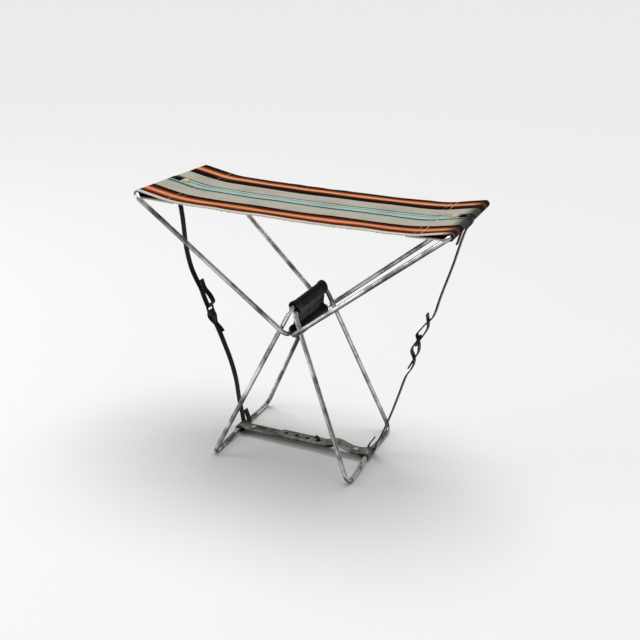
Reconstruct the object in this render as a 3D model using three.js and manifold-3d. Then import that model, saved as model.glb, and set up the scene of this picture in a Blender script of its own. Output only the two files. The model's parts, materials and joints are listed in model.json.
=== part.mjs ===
// Folding camp stool: two bent-wire seat frames and two bent-wire leg frames turn in one leather grip.
// A striped canvas is stretched between the seat frames, a leather strap with a small link ties
// each end of the seat to the foot below it, and two hooked steel strips keep the feet apart.
//
// Millimetres. +X is the seat's long axis, +Y goes from the front to the rear, +Z is up.
// The origin is on the floor, under the middle of the seat.

import * as THREE from 'three';
import { mergeVertices } from 'three/addons/utils/BufferGeometryUtils.js';
import Module from 'manifold-3d';

const wasm = await Module();
wasm.setup();

// ---------------------------------------------------------------- driving dimensions

const WIRE_R = 3.175;        // quarter-inch rod
const WIRE_SIDES = 12;
const BEND_STEPS = 5;
const BUTT_GAP = 0.4;        // between the two ends of each bent rod
const GAP = 0.3;             // between pieces that touch
const BOW_GAP = 0.8;         // round the middle of a foot bar, which isn't straight
const WIRE_FLAT = WIRE_R * Math.cos(Math.PI / WIRE_SIDES);

// Seat frames: a short bar in the grip, a long bar in the canvas pocket.
const SEAT_END_X = 200;
const SEAT_END_Z = 343.2;
const SEAT_PIVOT_X = 3.4;
const SEAT_PIVOT_Z = 180.2;
const SEAT_PIVOT_HALF = 66;
const SEAT_END_HALF = 98.2;
const SEAT_PIVOT_BEND = 11;
const SEAT_END_BEND = 8;

// Leg frames: their pivot bars lie one above the other in the grip.
const LEFT_LEG = { pivotX: -1.4, pivotZ: 215, footX: -93.5 };
const RIGHT_LEG = { pivotX: 1.4, pivotZ: 209, footX: 96.5 };
const LEG_PIVOT_HALF = 55.5;
const LEG_FOOT_HALF = 87.7;
const LEG_BEND = 11;
const FOOT_BOW = 4;          // the foot bar arches off the floor between its corners
const FOOT_BOW_HALF = 60;
const FOOT_BOW_STEPS = 10;

// Leather grip.
const GRIP_LENGTH = 88.6;
const GRIP_THICKNESS = 2.2;
const GRIP_TOP_R = WIRE_R + 0.35;
const GRIP_BOTTOM_R = SEAT_PIVOT_X + WIRE_R + 0.4;
const GRIP_WEB = 2 * GRIP_THICKNESS + 0.4;

// Seat canvas.
const CANVAS_WIDTH = 178;
const CANVAS_THICKNESS = 1.3;
const POCKET_R = WIRE_R + 0.35;
const SEAM_X = 154;          // where each pocket's two layers meet
const SEAM_Z = 338.6;
const SAG = 1.8;             // the middle lies this far below the seams
const OPENING_WIDTH = 17;    // bares the end bar for the strap
const OPENING_INNER_X = 187;
const PATCH_LENGTH = 11;
const PATCH_WIDTH = 14;
const PATCH_THICKNESS = 0.8;

// Leather straps and their links.
const STRAP_WIDTH = 10;
const STRAP_THICKNESS = 1.8;
const STRAP_WRAP = WIRE_R + 0.35 + STRAP_THICKNESS / 2;
const LOWER_STRAP_Y = 10.5;
const LOWER_WRAP = WIRE_R + BOW_GAP + STRAP_THICKNESS / 2;
const LINK_WIRE_R = 1.5;
const LINK_HALF_WIDTH = 7.4;
const LINK_BEND = 2.6;
const LINK_WRAP = LINK_WIRE_R + 0.35 + STRAP_THICKNESS / 2;

// Steel spreader.
const STRIP_WIDTH = 19;
const STRIP_THICKNESS = 1.5;
const STRIP_Y = -5;
const STRIP_CORNER = 5;
const EYE_R = WIRE_R + BOW_GAP + STRIP_THICKNESS / 2;
const LEFT_STRIP_Z = 8.05;
const RIGHT_STRIP_Z = 9.95;
const LEFT_STRIP_END = 46;
const RIGHT_STRIP_END = -34.5;
const LEFT_RIVET = { x: -74, z: LEFT_STRIP_Z };
const RIGHT_RIVET = { x: 78, z: 8.75 };
const CATCH_PITCH = 16;
const CATCH_FIRST = -24;
const CATCH_COUNT = 4;
const CATCH_HALF_X = 3.9;
const CATCH_HALF_Y = 4.6;
const HOOK_X = 23.6;
const HOOK_R = 2.2;
const RIVET_SHANK_R = 1.9;

// ---------------------------------------------------------------- materials

const finish = (name, color, roughness, metalness) =>
  new THREE.MeshStandardMaterial({ name, color, roughness, metalness });

const WIRE = finish('galvanised_wire', '#a9aaa8', 0.32, 1);
const ZINC = finish('zinc_plated_strip', '#9a9d98', 0.55, 1);
const DARK_STEEL = finish('blackened_steel', '#2b2a29', 0.5, 1);
const LEATHER = finish('black_leather', '#211a17', 0.55, 0);
const CANVAS = finish('striped_canvas', '#c9c2b4', 0.95, 0);
const PATCH = finish('buff_patch', '#e9c9a8', 0.9, 0);

// ---------------------------------------------------------------- helpers

const vec2 = (x, y) => new THREE.Vector2(x, y);
const polar = (centre, radius, angle) =>
  vec2(centre.x + radius * Math.cos(angle), centre.y + radius * Math.sin(angle));
const deg = THREE.MathUtils.degToRad;

// A path that puts one section on each of its stations, so straight runs cost no extra faces.
class StationPath extends THREE.Curve {
  constructor(stations) {
    super();
    this.stations = stations;
  }

  at(u) {
    return this.stations[Math.round(u * (this.stations.length - 1))];
  }

  getPoint(u, target = new THREE.Vector3()) {
    return target.copy(this.at(u).point);
  }

  getPointAt(u, target) {
    return this.getPoint(u, target);
  }

  getTangent(u, target = new THREE.Vector3()) {
    return target.copy(this.at(u).tangent);
  }

  getTangentAt(u, target) {
    return this.getTangent(u, target);
  }
}

// A regular polygon with one flat facing the angle `turn`.
function rodSection(radius, sides, turn) {
  const corners = [];
  for (let i = 0; i < sides; i++) {
    corners.push(polar(vec2(0, 0), radius, turn + ((i + 0.5) * 2 * Math.PI) / sides));
  }
  return new THREE.Shape(corners);
}

// Stations round one rounded corner, in the frame's own plane.
function bend(corner, from, to, radius) {
  const along = corner.clone().sub(from).normalize();
  const away = to.clone().sub(corner).normalize();
  const turn = Math.acos(along.dot(away));
  const inward = away.clone().addScaledVector(along, -along.dot(away)).normalize();
  const start = corner.clone().addScaledVector(along, -radius * Math.tan(turn / 2));
  const stations = [];
  for (let i = 0; i <= BEND_STEPS; i++) {
    const a = (turn * i) / BEND_STEPS;
    stations.push({
      point: start.clone()
        .addScaledVector(along, radius * Math.sin(a))
        .addScaledVector(inward, radius * (1 - Math.cos(a))),
      tangent: along.clone().multiplyScalar(Math.cos(a)).addScaledVector(inward, Math.sin(a)),
    });
  }
  return stations;
}

// A rod bent into a closed four-sided loop. Local x runs from its near bar (x = 0) to its far bar
// (x = length), local y across it. Its two ends meet in the middle of the near bar.
function bentLoop({ nearHalf, farHalf, length, nearBend, farBend, bow = 0, radius, sides, turn = 0 }) {
  const nearRight = vec2(0, nearHalf);
  const farRight = vec2(length, farHalf);
  const farLeft = vec2(length, -farHalf);
  const nearLeft = vec2(0, -nearHalf);
  const across = vec2(0, 1);
  const bowed = [];
  for (let i = 0; bow > 0 && i <= FOOT_BOW_STEPS; i++) {
    const y = FOOT_BOW_HALF * (1 - (2 * i) / FOOT_BOW_STEPS);
    const phase = (Math.PI * y) / FOOT_BOW_HALF;
    bowed.push({
      point: vec2(length - (bow / 2) * (1 + Math.cos(phase)), y),
      tangent: vec2(((-bow / 2) * Math.PI * Math.sin(phase)) / FOOT_BOW_HALF, -1).normalize(),
    });
  }
  const stations = [
    { point: vec2(0, BUTT_GAP / 2), tangent: across },
    ...bend(nearRight, vec2(0, 0), farRight, nearBend),
    ...bend(farRight, nearRight, farLeft, farBend),
    ...bowed,
    ...bend(farLeft, farRight, nearLeft, farBend),
    ...bend(nearLeft, farLeft, vec2(0, 0), nearBend),
    { point: vec2(0, -BUTT_GAP / 2), tangent: across },
  ].map(({ point, tangent }) => ({
    point: new THREE.Vector3(point.x, point.y, 0),
    tangent: new THREE.Vector3(tangent.x, tangent.y, 0),
  }));
  return new THREE.ExtrudeGeometry(rodSection(radius, sides, turn), {
    extrudePath: new StationPath(stations),
    steps: stations.length - 1,
  });
}

// Sends the shape's x and y to X and Z, and centres the depth on y.
function extrudeAcross(shape, width, y, curveSegments = 6) {
  const geometry = new THREE.ExtrudeGeometry(shape, { depth: width, bevelEnabled: false, curveSegments });
  geometry.rotateX(Math.PI / 2);
  geometry.translate(0, y + width / 2, 0);
  return geometry;
}

// Sends the shape's x and y to X and Y, and stands the depth on z.
function extrudeUp(shape, height, z) {
  const geometry = new THREE.ExtrudeGeometry(shape, { depth: height, bevelEnabled: false, curveSegments: 8 });
  geometry.translate(0, 0, z);
  return geometry;
}

// The outline of a flat band of even thickness along a smooth line through the points. A band may
// end in a straight run to one more point.
function bandShape(points, thickness, straightTo = null) {
  const perSpan = 3;
  const line = new THREE.CatmullRomCurve3(
    points.map(([x, z]) => new THREE.Vector3(x, z, 0)), false, 'centripetal');
  const spans = (points.length - 1) * perSpan;
  const stations = [];
  for (let i = 0; i <= spans; i++) {
    stations.push({ p: line.getPoint(i / spans), t: line.getTangent(i / spans) });
  }
  if (straightTo) {
    const joint = stations.at(-1);
    const end = new THREE.Vector3(...straightTo, 0);
    joint.t = end.clone().sub(joint.p).normalize();
    stations.push({ p: end, t: joint.t });
  }
  const side = (sign) => stations.map(({ p, t }) =>
    vec2(p.x - (sign * t.y * thickness) / 2, p.y + (sign * t.x * thickness) / 2));
  return new THREE.Shape([...side(1), ...side(-1).reverse()]);
}

// Points every 45 degrees or less round a bar, from one angle to another.
function wrap([x, z], radius, fromDegrees, toDegrees) {
  const steps = Math.ceil(Math.abs(toDegrees - fromDegrees) / 45);
  const points = [];
  for (let i = 0; i <= steps; i++) {
    const a = deg(fromDegrees + ((toDegrees - fromDegrees) * i) / steps);
    points.push([x + radius * Math.cos(a), z + radius * Math.sin(a)]);
  }
  return points;
}

function solid(geometry) {
  const bare = geometry.index ? geometry.toNonIndexed() : geometry.clone();
  bare.deleteAttribute('normal');
  bare.deleteAttribute('uv');
  const merged = mergeVertices(bare, 1e-3);
  return new wasm.Manifold(new wasm.Mesh({
    numProp: 3,
    vertProperties: merged.attributes.position.array,
    triVerts: new Uint32Array(merged.index.array),
  }));
}

function geometryOf(manifold) {
  const mesh = manifold.getMesh();
  const geometry = new THREE.BufferGeometry();
  geometry.setAttribute('position', new THREE.BufferAttribute(mesh.vertProperties, 3));
  geometry.setIndex(new THREE.BufferAttribute(mesh.triVerts, 1));
  geometry.computeVertexNormals();
  return geometry;
}

const cut = (body, cutters) =>
  geometryOf(cutters.reduce((left, cutter) => left.subtract(solid(cutter)), solid(body)));

function blockBetween(low, high) {
  const geometry = new THREE.BoxGeometry(high[0] - low[0], high[1] - low[1], high[2] - low[2]);
  geometry.translate((low[0] + high[0]) / 2, (low[1] + high[1]) / 2, (low[2] + high[2]) / 2);
  return geometry;
}

function postBetween(x, y, radius, low, high) {
  const geometry = new THREE.CylinderGeometry(radius, radius, high - low, 16);
  geometry.rotateX(Math.PI / 2);
  geometry.translate(x, y, (low + high) / 2);
  return geometry;
}

function piece(name, geometry, material) {
  const mesh = new THREE.Mesh(geometry, material);
  mesh.name = name;
  return mesh;
}

// ---------------------------------------------------------------- wire frames

// Turns a frame built along its local x so that it runs from its pivot bar to its far bar.
function placeFrame(mesh, from, to) {
  mesh.position.set(from.x, 0, from.y);
  mesh.rotation.y = -Math.atan2(to.y - from.y, to.x - from.x);
  return mesh;
}

function seatFrame(name, side) {
  const pivot = vec2(side * SEAT_PIVOT_X, SEAT_PIVOT_Z);
  const end = vec2(side * SEAT_END_X, SEAT_END_Z);
  const geometry = bentLoop({
    nearHalf: SEAT_PIVOT_HALF,
    farHalf: SEAT_END_HALF,
    length: pivot.distanceTo(end),
    nearBend: SEAT_PIVOT_BEND,
    farBend: SEAT_END_BEND,
    radius: WIRE_R,
    sides: WIRE_SIDES,
  });
  return placeFrame(piece(name, geometry, WIRE), pivot, end);
}

const legEnds = (leg) => [vec2(leg.pivotX, leg.pivotZ), vec2(leg.footX, WIRE_FLAT)];

// The rod's section is turned so that one of its flats lies on the floor.
function legFrame(name, leg) {
  const [pivot, foot] = legEnds(leg);
  const geometry = bentLoop({
    nearHalf: LEG_PIVOT_HALF,
    farHalf: LEG_FOOT_HALF,
    length: pivot.distanceTo(foot),
    nearBend: LEG_BEND,
    farBend: LEG_BEND,
    bow: FOOT_BOW,
    radius: WIRE_R,
    sides: WIRE_SIDES,
    turn: -Math.atan2(foot.y - pivot.y, foot.x - pivot.x),
  });
  return placeFrame(piece(name, geometry, WIRE), pivot, foot);
}

// The centre of a foot bar at a given distance from the middle of its arch.
function footBarCentre(leg, y) {
  const [pivot, foot] = legEnds(leg);
  const rise = (FOOT_BOW / 2) * (1 + Math.cos((Math.PI * y) / FOOT_BOW_HALF));
  return foot.clone().addScaledVector(pivot.clone().sub(foot).normalize(), rise);
}

// ---------------------------------------------------------------- leather grip

// One piece of leather: a round tube for the seat frames' bars, a flat web of two layers, and
// a leaning oval tube for the leg frames' bars.
function gripSleeve() {
  const bottom = vec2(0, SEAT_PIVOT_Z);
  const upper = vec2(LEFT_LEG.pivotX, LEFT_LEG.pivotZ);
  const lower = vec2(RIGHT_LEG.pivotX, RIGHT_LEG.pivotZ);
  const lean = Math.atan2(upper.y - lower.y, upper.x - lower.x);
  const half = GRIP_WEB / 2;
  const bottomR = GRIP_BOTTOM_R + GRIP_THICKNESS;
  const topR = GRIP_TOP_R + GRIP_THICKNESS;
  const bottomMeet = Math.acos(half / bottomR);
  const leftMeet = -Math.acos((-half - lower.x) / topR);
  const rightMeet = -Math.acos((half - lower.x) / topR);
  const leftSide = lean + Math.PI / 2;
  const rightSide = lean - Math.PI / 2;

  const outline = new THREE.Shape();
  outline.absarc(bottom.x, bottom.y, bottomR, bottomMeet, Math.PI - bottomMeet, true);
  outline.absarc(lower.x, lower.y, topR, leftMeet, leftSide, true);
  outline.absarc(upper.x, upper.y, topR, leftSide, rightSide, true);
  outline.absarc(lower.x, lower.y, topR, rightSide, rightMeet, true);
  outline.closePath();

  const round = new THREE.Path();
  round.absarc(bottom.x, bottom.y, GRIP_BOTTOM_R, 0, 2 * Math.PI, false);
  const oval = new THREE.Path();
  oval.absarc(upper.x, upper.y, GRIP_TOP_R, rightSide, leftSide, false);
  oval.absarc(lower.x, lower.y, GRIP_TOP_R, leftSide, rightSide + 2 * Math.PI, false);
  oval.closePath();
  outline.holes.push(round, oval);
  return piece('grip_sleeve', extrudeAcross(outline, GRIP_LENGTH, 0, 8), LEATHER);
}

// ---------------------------------------------------------------- seat canvas

// Where a line from a point touches a circle, above it (side 1) or below it (side -1).
function touch(point, centre, radius, side) {
  const reach = centre.clone().sub(point);
  const angle = Math.atan2(reach.y, reach.x) + side * Math.asin(radius / reach.length());
  return angle + (side * Math.PI) / 2;
}

const seamTop = vec2(SEAM_X, SEAM_Z + CANVAS_THICKNESS / 2);
const seamBottom = vec2(SEAM_X, SEAM_Z - CANVAS_THICKNESS / 2);
const endBar = vec2(SEAT_END_X, SEAT_END_Z);
const topTouch = touch(seamTop, endBar, POCKET_R + CANVAS_THICKNESS, 1);
const bottomTouch = touch(seamBottom, endBar, POCKET_R + CANVAS_THICKNESS, -1);
const canvasSlope = topTouch - Math.PI / 2;

function arcPoints(centre, radius, from, to, steps) {
  const points = [];
  for (let i = 0; i <= steps; i++) {
    points.push(polar(centre, radius, from + ((to - from) * i) / steps));
  }
  return points;
}

const mirrored = (points) => points.map((p) => vec2(-p.x, p.y)).reverse();

function pocketHole() {
  const upperStart = polar(endBar, POCKET_R, topTouch);
  const lowerStart = polar(endBar, POCKET_R, bottomTouch);
  const upperSlope = Math.tan(canvasSlope);
  const lowerSlope = Math.tan(bottomTouch + Math.PI / 2);
  const apexX = (lowerStart.y - upperStart.y + upperSlope * upperStart.x - lowerSlope * lowerStart.x)
    / (upperSlope - lowerSlope);
  const apex = vec2(apexX, upperStart.y + upperSlope * (apexX - upperStart.x));
  return [apex, ...arcPoints(endBar, POCKET_R, topTouch, bottomTouch, 12)];
}

function seatCanvas() {
  const sagged = (from) => {
    const points = [];
    for (let i = 0; i <= 4; i++) {
      const x = (SEAM_X * i) / 4;
      points.push(vec2(x, from.y - SAG * (1 - (x / SEAM_X) ** 2)));
    }
    return points;
  };
  const half = [
    ...sagged(seamTop),
    ...arcPoints(endBar, POCKET_R + CANVAS_THICKNESS, topTouch, bottomTouch, 12),
    ...sagged(seamBottom).reverse(),
  ];
  const outline = new THREE.Shape([...half, ...mirrored(half).slice(1, -1)].reverse());
  outline.holes.push(new THREE.Path(pocketHole()), new THREE.Path(mirrored(pocketHole())));
  const sheet = extrudeAcross(outline, CANVAS_WIDTH, 0);
  const reach = SEAT_END_X + 10;
  const openings = [
    blockBetween([OPENING_INNER_X, -OPENING_WIDTH / 2, SEAM_Z - 5], [reach, OPENING_WIDTH / 2, SEAM_Z + 15]),
    blockBetween([-reach, -OPENING_WIDTH / 2, SEAM_Z - 5], [-OPENING_INNER_X, OPENING_WIDTH / 2, SEAM_Z + 15]),
  ];
  return piece('seat_canvas', cut(sheet, openings), CANVAS);
}

// A five-sided patch, pointing to the middle of the seat, on the inner edge of each opening.
function openingPatch(name, side) {
  const half = PATCH_WIDTH / 2;
  const shape = new THREE.Shape([
    vec2(0, -half),
    vec2(0, half),
    vec2(-side * PATCH_LENGTH * 0.6, half),
    vec2(-side * PATCH_LENGTH, 0),
    vec2(-side * PATCH_LENGTH * 0.6, -half),
  ]);
  const mesh = piece(name, extrudeUp(shape, PATCH_THICKNESS, GAP), PATCH);
  const x = OPENING_INNER_X - 1;
  const height = seamTop.y + (x - SEAM_X) * Math.tan(canvasSlope);
  mesh.position.set(side * x, 0, height);
  mesh.rotation.y = -side * canvasSlope;
  return mesh;
}

// ---------------------------------------------------------------- straps and links

// Each link is a small bent-wire loop that stands across the strap. Its bars are listed as [x, z].
const LEFT_LINK = { upper: [-146.8, 177], lower: [-143.6, 167.2] };
const RIGHT_LINK = { upper: [151.6, 184], lower: [149, 173.4] };

function strapLink(name, { upper, lower }) {
  const from = vec2(...upper);
  const to = vec2(...lower);
  const geometry = bentLoop({
    nearHalf: LINK_HALF_WIDTH,
    farHalf: LINK_HALF_WIDTH,
    length: from.distanceTo(to),
    nearBend: LINK_BEND,
    farBend: LINK_BEND,
    radius: LINK_WIRE_R,
    sides: 8,
  });
  return placeFrame(piece(name, geometry, DARK_STEEL), from, to);
}

// The straps' routes are listed as [x, z], from the loose tail over the end bar to the link,
// and from the link down to the foot bar and back up inside it.
const LEFT_UPPER_ROUTE = [
  [-186.2, 312],
  [-191, 327],
  ...wrap([-SEAT_END_X, SEAT_END_Z], STRAP_WRAP, -15, 180),
  [-203, 338],
  [-196.5, 331],
  [-190.6, 312],
  [-186.5, 290],
  [-181.5, 252],
  [-172.5, 222],
  [-160.5, 202],
  [-153.6, 189],
  [-150.4, 180.5],
  ...wrap(LEFT_LINK.upper, LINK_WRAP, 190, 350),
  [-142.6, 182.5],
  [-147.2, 191.5],
];
const RIGHT_UPPER_ROUTE = [
  [188.3, 311],
  [192.2, 327],
  ...wrap([SEAT_END_X, SEAT_END_Z], STRAP_WRAP, 195, 0),
  [203, 338],
  [197.8, 331],
  [191.9, 310],
  [186.3, 286],
  [173.9, 241],
  [168.7, 219],
  [165.5, 211],
  [157.4, 201.5],
  [151, 193],
  [148.3, 187.5],
  ...wrap(RIGHT_LINK.upper, LINK_WRAP, 190, 350),
  [155.4, 188.5],
  [157.4, 197],
];
const LEFT_LOWER_ROUTE = [
  [-139.4, 157],
  [-144.8, 161.5],
  ...wrap(LEFT_LINK.lower, LINK_WRAP, 170, 10),
  [-139.2, 162],
  [-135.6, 154],
  [-130.6, 141],
  [-123.9, 123],
  [-115.2, 100],
  [-108, 73.5],
  [-102.8, 38],
  [-98.6, 17],
  ...wrap(footBarCentre(LEFT_LEG, LOWER_STRAP_Y).toArray(), LOWER_WRAP, 170, 370),
  [-89.2, 14],
  [-93.4, 25],
];
const RIGHT_LOWER_ROUTE = [
  [145.6, 158],
  [144, 166],
  ...wrap(RIGHT_LINK.lower, LINK_WRAP, 170, 10),
  [151.9, 165],
  [148.9, 156],
  [145.4, 142],
  [138.4, 128],
  [130, 100],
  [120.5, 67.6],
  [109.6, 35],
  [102, 16],
  ...wrap(footBarCentre(RIGHT_LEG, LOWER_STRAP_Y).toArray(), LOWER_WRAP, 10, -190),
  [92.3, 14],
  [98, 24],
];

// Below the link a strap leans to the rear, to clear the strip's eye on the foot bar.
const LEAN_TOP_Z = 150;
const LEAN_BOTTOM_Z = 20;

function strap(name, route, footY) {
  const geometry = extrudeAcross(bandShape(route, STRAP_THICKNESS), STRAP_WIDTH, 0);
  const position = geometry.attributes.position;
  for (let i = 0; i < position.count; i++) {
    const share = (LEAN_TOP_Z - position.getZ(i)) / (LEAN_TOP_Z - LEAN_BOTTOM_Z);
    position.setY(i, position.getY(i) + footY * THREE.MathUtils.clamp(share, 0, 1));
  }
  return piece(name, geometry, LEATHER);
}

// ---------------------------------------------------------------- spreader

// Each strip is rolled round its foot bar and riveted back on itself under its main run.
function stripRoute(leg, side, rivet, run = []) {
  const eye = footBarCentre(leg, STRIP_Y);
  const under = rivet.z - STRIP_THICKNESS - 1.5 * GAP;
  return [
    [rivet.x - side * 6, under],
    [rivet.x + side * 4.6, under],
    [rivet.x + side * 9.3, under - 1.4],
    ...wrap([eye.x, eye.y], EYE_R, side > 0 ? -100 : 280, side > 0 ? 100 : 80),
    [rivet.x + side * 9.5, rivet.z + 0.9],
    [rivet.x + side * 5.5, rivet.z],
    [rivet.x, rivet.z],
    [rivet.x - side * 5.5, rivet.z],
    ...run,
  ];
}

function diamond(x, halfX, halfY) {
  return new THREE.Shape([
    vec2(x - halfX, STRIP_Y),
    vec2(x, STRIP_Y - halfY),
    vec2(x + halfX, STRIP_Y),
    vec2(x, STRIP_Y + halfY),
  ]);
}

// The corners that are clipped off the free end of a strip.
function clippedEnd(x, side) {
  return [1, -1].map((rear) => {
    const edge = STRIP_Y + rear * (STRIP_WIDTH / 2 + 1);
    const shape = new THREE.Shape([
      vec2(x + side, edge),
      vec2(x - side * STRIP_CORNER, edge),
      vec2(x + side, edge - rear * (STRIP_CORNER + 2)),
    ]);
    return extrudeUp(shape, 20, 0);
  });
}

function leftStrip() {
  const shape = bandShape(
    stripRoute(LEFT_LEG, -1, LEFT_RIVET), STRIP_THICKNESS, [LEFT_STRIP_END, LEFT_STRIP_Z]);
  const body = extrudeAcross(shape, STRIP_WIDTH, STRIP_Y);
  return piece('left_spreader_strip', cut(body, [
    postBetween(LEFT_RIVET.x, STRIP_Y, RIVET_SHANK_R + GAP, 0, 20),
    postBetween(HOOK_X, STRIP_Y, HOOK_R + GAP, 0, 20),
    ...clippedEnd(LEFT_STRIP_END, 1),
  ]), ZINC);
}

function rightStrip() {
  const route = stripRoute(RIGHT_LEG, 1, RIGHT_RIVET, [
    [66, 10.6],
    [57, 13.6],
    [50, 14.6],
    [43, 13.4],
    [36.5, 10.8],
    [31, RIGHT_STRIP_Z],
  ]);
  const shape = bandShape(route, STRIP_THICKNESS, [RIGHT_STRIP_END, RIGHT_STRIP_Z]);
  const body = extrudeAcross(shape, STRIP_WIDTH, STRIP_Y);
  const catches = [];
  for (let i = 0; i < CATCH_COUNT; i++) {
    catches.push(extrudeUp(diamond(CATCH_FIRST + i * CATCH_PITCH, CATCH_HALF_X, CATCH_HALF_Y), 20, 0));
  }
  return piece('right_spreader_strip', cut(body, [
    postBetween(RIGHT_RIVET.x, STRIP_Y, RIVET_SHANK_R + GAP, 0, 20),
    ...catches,
    ...clippedEnd(RIGHT_STRIP_END, -1),
  ]), ZINC);
}

// A rod riveted under the left strip, up through a catch and curled over towards the left foot.
function spreaderHook() {
  const flangeTop = LEFT_STRIP_Z - STRIP_THICKNESS / 2 - GAP;
  const flange = postBetween(HOOK_X, STRIP_Y, 4, flangeTop - 1.2, flangeTop);
  const curl = 3;
  const rise = 12.2;
  const stations = [{
    point: new THREE.Vector3(HOOK_X, STRIP_Y, flangeTop - 0.6),
    tangent: new THREE.Vector3(0, 0, 1),
  }];
  for (let i = 0; i <= BEND_STEPS; i++) {
    const a = (deg(80) * i) / BEND_STEPS;
    stations.push({
      point: new THREE.Vector3(HOOK_X - curl * (1 - Math.cos(a)), STRIP_Y, rise + curl * Math.sin(a)),
      tangent: new THREE.Vector3(-Math.sin(a), 0, Math.cos(a)),
    });
  }
  const tip = stations.at(-1);
  stations.push({ point: tip.point.clone().addScaledVector(tip.tangent, 2), tangent: tip.tangent });
  const rod = new THREE.ExtrudeGeometry(rodSection(HOOK_R, 10, 0), {
    extrudePath: new StationPath(stations),
    steps: stations.length - 1,
  });
  return piece('spreader_hook', geometryOf(solid(flange).add(solid(rod))), DARK_STEEL);
}

function stripRivet(name, rivet) {
  const top = rivet.z + STRIP_THICKNESS / 2 + GAP;
  const bottom = rivet.z - 1.5 * STRIP_THICKNESS - 2 * GAP;
  const profile = [
    vec2(0, bottom - 0.9),
    vec2(3, bottom - 0.9),
    vec2(3.2, bottom),
    vec2(RIVET_SHANK_R, bottom),
    vec2(RIVET_SHANK_R, top),
    vec2(4.6, top),
    vec2(4.1, top + 0.9),
    vec2(2.4, top + 1.6),
    vec2(0, top + 1.8),
  ];
  const geometry = new THREE.LatheGeometry(profile, 16);
  geometry.rotateX(Math.PI / 2);
  const mesh = piece(name, geometry, ZINC);
  mesh.position.set(rivet.x, STRIP_Y, 0);
  return mesh;
}

// ---------------------------------------------------------------- assembly

const stool = new THREE.Group();
stool.add(
  seatFrame('left_seat_frame', -1),
  seatFrame('right_seat_frame', 1),
  legFrame('left_leg_frame', LEFT_LEG),
  legFrame('right_leg_frame', RIGHT_LEG),
  gripSleeve(),
  seatCanvas(),
  openingPatch('left_opening_patch', -1),
  openingPatch('right_opening_patch', 1),
  strap('left_upper_strap', LEFT_UPPER_ROUTE, 0),
  strap('right_upper_strap', RIGHT_UPPER_ROUTE, 0),
  strap('left_lower_strap', LEFT_LOWER_ROUTE, LOWER_STRAP_Y),
  strap('right_lower_strap', RIGHT_LOWER_ROUTE, LOWER_STRAP_Y),
  strapLink('left_strap_link', LEFT_LINK),
  strapLink('right_strap_link', RIGHT_LINK),
  leftStrip(),
  rightStrip(),
  spreaderHook(),
  stripRivet('left_spreader_rivet', LEFT_RIVET),
  stripRivet('right_spreader_rivet', RIGHT_RIVET),
);

export default stool;
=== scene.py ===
"""A folding camp stool: bent-wire frames in a leather grip, a striped canvas seat, leather side
straps and a hooked steel spreader.

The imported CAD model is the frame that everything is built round. Sizes in the classes are
millimetres; Blender's own units are metres.
"""

import json
import logging
import math
from collections.abc import Sequence
from dataclasses import dataclass
from enum import Enum

import bmesh
import bpy
from mathutils import Matrix, Vector, noise

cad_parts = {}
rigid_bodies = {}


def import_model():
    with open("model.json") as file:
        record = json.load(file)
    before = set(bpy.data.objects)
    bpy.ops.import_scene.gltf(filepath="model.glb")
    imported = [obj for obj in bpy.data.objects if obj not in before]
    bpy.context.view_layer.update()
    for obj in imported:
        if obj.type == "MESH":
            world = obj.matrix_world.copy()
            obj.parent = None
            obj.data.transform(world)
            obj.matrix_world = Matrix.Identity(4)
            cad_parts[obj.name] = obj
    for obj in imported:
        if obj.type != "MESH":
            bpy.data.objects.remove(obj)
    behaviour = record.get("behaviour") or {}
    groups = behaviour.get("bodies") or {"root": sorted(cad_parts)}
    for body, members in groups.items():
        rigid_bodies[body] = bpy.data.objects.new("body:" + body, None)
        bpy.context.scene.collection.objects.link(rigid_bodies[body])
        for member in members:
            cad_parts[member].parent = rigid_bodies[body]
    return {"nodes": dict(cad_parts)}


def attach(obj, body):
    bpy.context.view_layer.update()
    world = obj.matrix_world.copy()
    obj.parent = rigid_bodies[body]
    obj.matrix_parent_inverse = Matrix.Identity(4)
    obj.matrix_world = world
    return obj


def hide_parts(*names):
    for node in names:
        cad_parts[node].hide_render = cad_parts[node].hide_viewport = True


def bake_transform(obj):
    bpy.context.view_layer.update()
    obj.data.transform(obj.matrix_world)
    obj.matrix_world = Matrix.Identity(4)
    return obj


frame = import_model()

log = logging.getLogger("camp_stool")

MM = 0.001
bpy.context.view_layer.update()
Pair = tuple[float, float]
Tree = bpy.types.NodeTree
Socket = bpy.types.NodeSocket
Value = Socket | float | tuple[float, ...]
Stops = tuple[tuple[float, str], ...]   # where each colour starts, and the colour

END_BAR: Pair = (200.0, 343.2)   # X and Z of the right-hand end bar's centre


# ---------------------------------------------------------------- node and colour helpers


def linear(colour: str) -> tuple[float, float, float, float]:
    """Turns an sRGB hex colour into the linear colour that shaders take.

    Args:
        colour: Six hex digits, such as "C8501E".

    Returns:
        Red, green, blue and an alpha of 1.
    """
    def channel(start: int) -> float:
        """Returns one linear channel."""
        value = int(colour[start:start + 2], 16) / 255
        return value / 12.92 if value <= 0.04045 else ((value + 0.055) / 1.055) ** 2.4

    return channel(0), channel(2), channel(4), 1.0


def per_metre(size_mm: float) -> float:
    """Returns the texture scale that gives a feature of that size on metre coordinates."""
    return 1.0 / (size_mm * MM)


def feed(tree: Tree, node: bpy.types.Node, inputs: dict) -> None:
    """Sets a node's inputs.

    Args:
        tree: The node's tree.
        node: The node.
        inputs: Socket name or index, to a value or to the socket that feeds it.
    """
    for key, value in inputs.items():
        if isinstance(value, Socket):
            tree.links.new(value, node.inputs[key])
        else:
            node.inputs[key].default_value = value


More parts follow.
